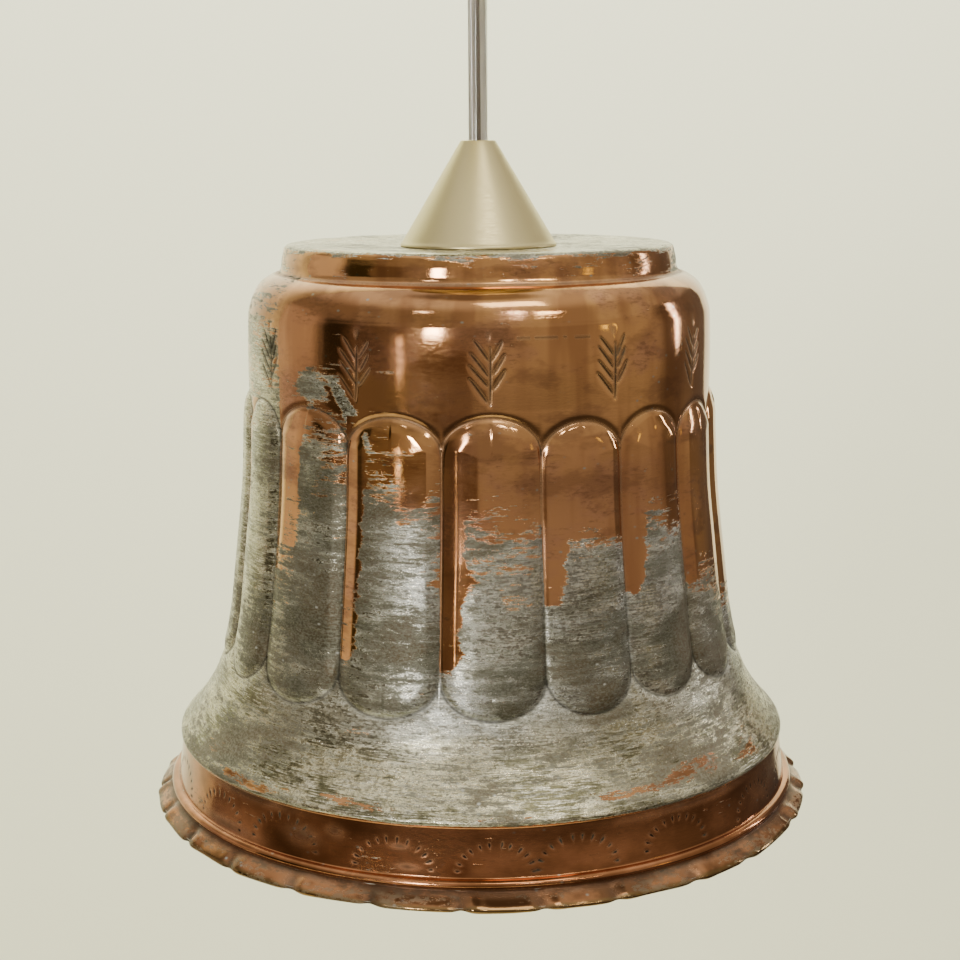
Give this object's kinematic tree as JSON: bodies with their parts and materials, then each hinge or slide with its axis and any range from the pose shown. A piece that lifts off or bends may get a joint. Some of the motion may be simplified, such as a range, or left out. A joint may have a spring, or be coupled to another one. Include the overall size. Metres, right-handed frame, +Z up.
{
  "type": "pendant lamp",
  "caption": "Ceiling pendant lamp with a fluted, flared copper shade on a clear cord under a cone cap, with its hook, canopy, lampholder and bulb.",
  "frame": {"origin": "centre of the ceiling plate's flat top face, which lies against the ceiling", "axes": "+Z up into the ceiling, -Y towards the lamp's front, +X to the right seen from the front"},
  "size_m": [0.2398, 0.2398, 0.3586],
  "materials": {
    "tinned_copper": "polished copper above, worn tin below",
    "satin_nickel": "fine satin, warm",
    "zinc_steel": "zinc plated",
    "brass": "bright",
    "clear_pvc": "clear and glossy",
    "black_plastic": "moulded, half matt",
    "white_plastic": "moulded, half matt",
    "ceramic": "glazed",
    "brown_insulation": "half gloss",
    "blue_insulation": "half gloss",
    "green_yellow_insulation": "half gloss",
    "clear_glass": "clear",
    "black_glass": "opaque, glossy",
    "aluminium": "bright",
    "phosphor": "matt coating"
  },
  "bodies": {
    "ceiling": {"ceiling_plate": "zinc_steel", "ceiling_hook": "zinc_steel", "hook_nut": "zinc_steel"},
    "link": {"hanging_link": "zinc_steel"},
    "hanger": {"cord_clamp": "white_plastic", "clamp_saddle": "white_plastic", "clamp_screw_1": "zinc_steel", "clamp_screw_2": "zinc_steel", "terminal_block": "white_plastic", "terminal_screw_1": "brass", "terminal_screw_2": "brass", "terminal_screw_3": "brass", "live_core_at_ceiling": "brown_insulation", "neutral_core_at_ceiling": "blue_insulation", "earth_core_at_ceiling": "green_yellow_insulation", "cord": "clear_pvc"},
    "canopy": {"canopy": "satin_nickel", "canopy_bush": "satin_nickel", "canopy_nut": "brass", "canopy_grub_screw": "zinc_steel"},
    "shade": {"shade": "tinned_copper", "threaded_tube": "brass", "upper_washer": "zinc_steel", "upper_nut": "brass", "lower_washer": "zinc_steel", "lower_nut": "brass", "cord_grip": "black_plastic", "grip_screw": "white_plastic", "holder_cap": "black_plastic", "holder_skirt": "black_plastic", "screw_shell": "brass", "holder_insert": "ceramic", "holder_screw_1": "brass", "holder_screw_2": "brass", "holder_screw_3": "brass", "centre_contact": "brass", "live_core_in_holder": "brown_insulation", "neutral_core_in_holder": "blue_insulation", "earth_core_in_holder": "green_yellow_insulation"},
    "cone": {"cone": "satin_nickel"},
    "bulb": {"bulb_cap": "aluminium", "bulb_insulator": "black_glass", "bulb_contact": "aluminium", "bulb_glass": "clear_glass", "bulb_stem": "clear_glass", "filament_1": "phosphor", "filament_2": "phosphor", "filament_3": "phosphor", "filament_4": "phosphor"}
  },
  "joints": [
    {"name": "link_swing", "type": "hinge", "parent": "ceiling", "child": "link", "pos_m": [0, 0, -0.028], "axis": [1, 0, 0], "range_deg": [-6, 6]},
    {"name": "lamp_swing", "type": "hinge", "parent": "link", "child": "hanger", "pos_m": [0, 0, -0.036], "axis": [0, 1, 0], "range_deg": [-6, 6]},
    {"name": "canopy_slide", "type": "slide", "parent": "hanger", "child": "canopy", "axis": [0, 0, -1], "range_m": [0, 0.03]},
    {"name": "shade_twist", "type": "hinge", "parent": "hanger", "child": "shade", "pos_m": [0, 0, -0.16], "axis": [0, 0, 1], "range_deg": [-90, 90], "stiffness_Nm_per_rad": 0.02},
    {"name": "cone_slide", "type": "slide", "parent": "shade", "child": "cone", "axis": [0, 0, 1], "range_m": [0, 0.02]},
    {"name": "bulb_unscrew", "type": "slide", "parent": "shade", "child": "bulb", "axis": [0, 0, -1], "range_m": [0, 0.024]}
  ]
}
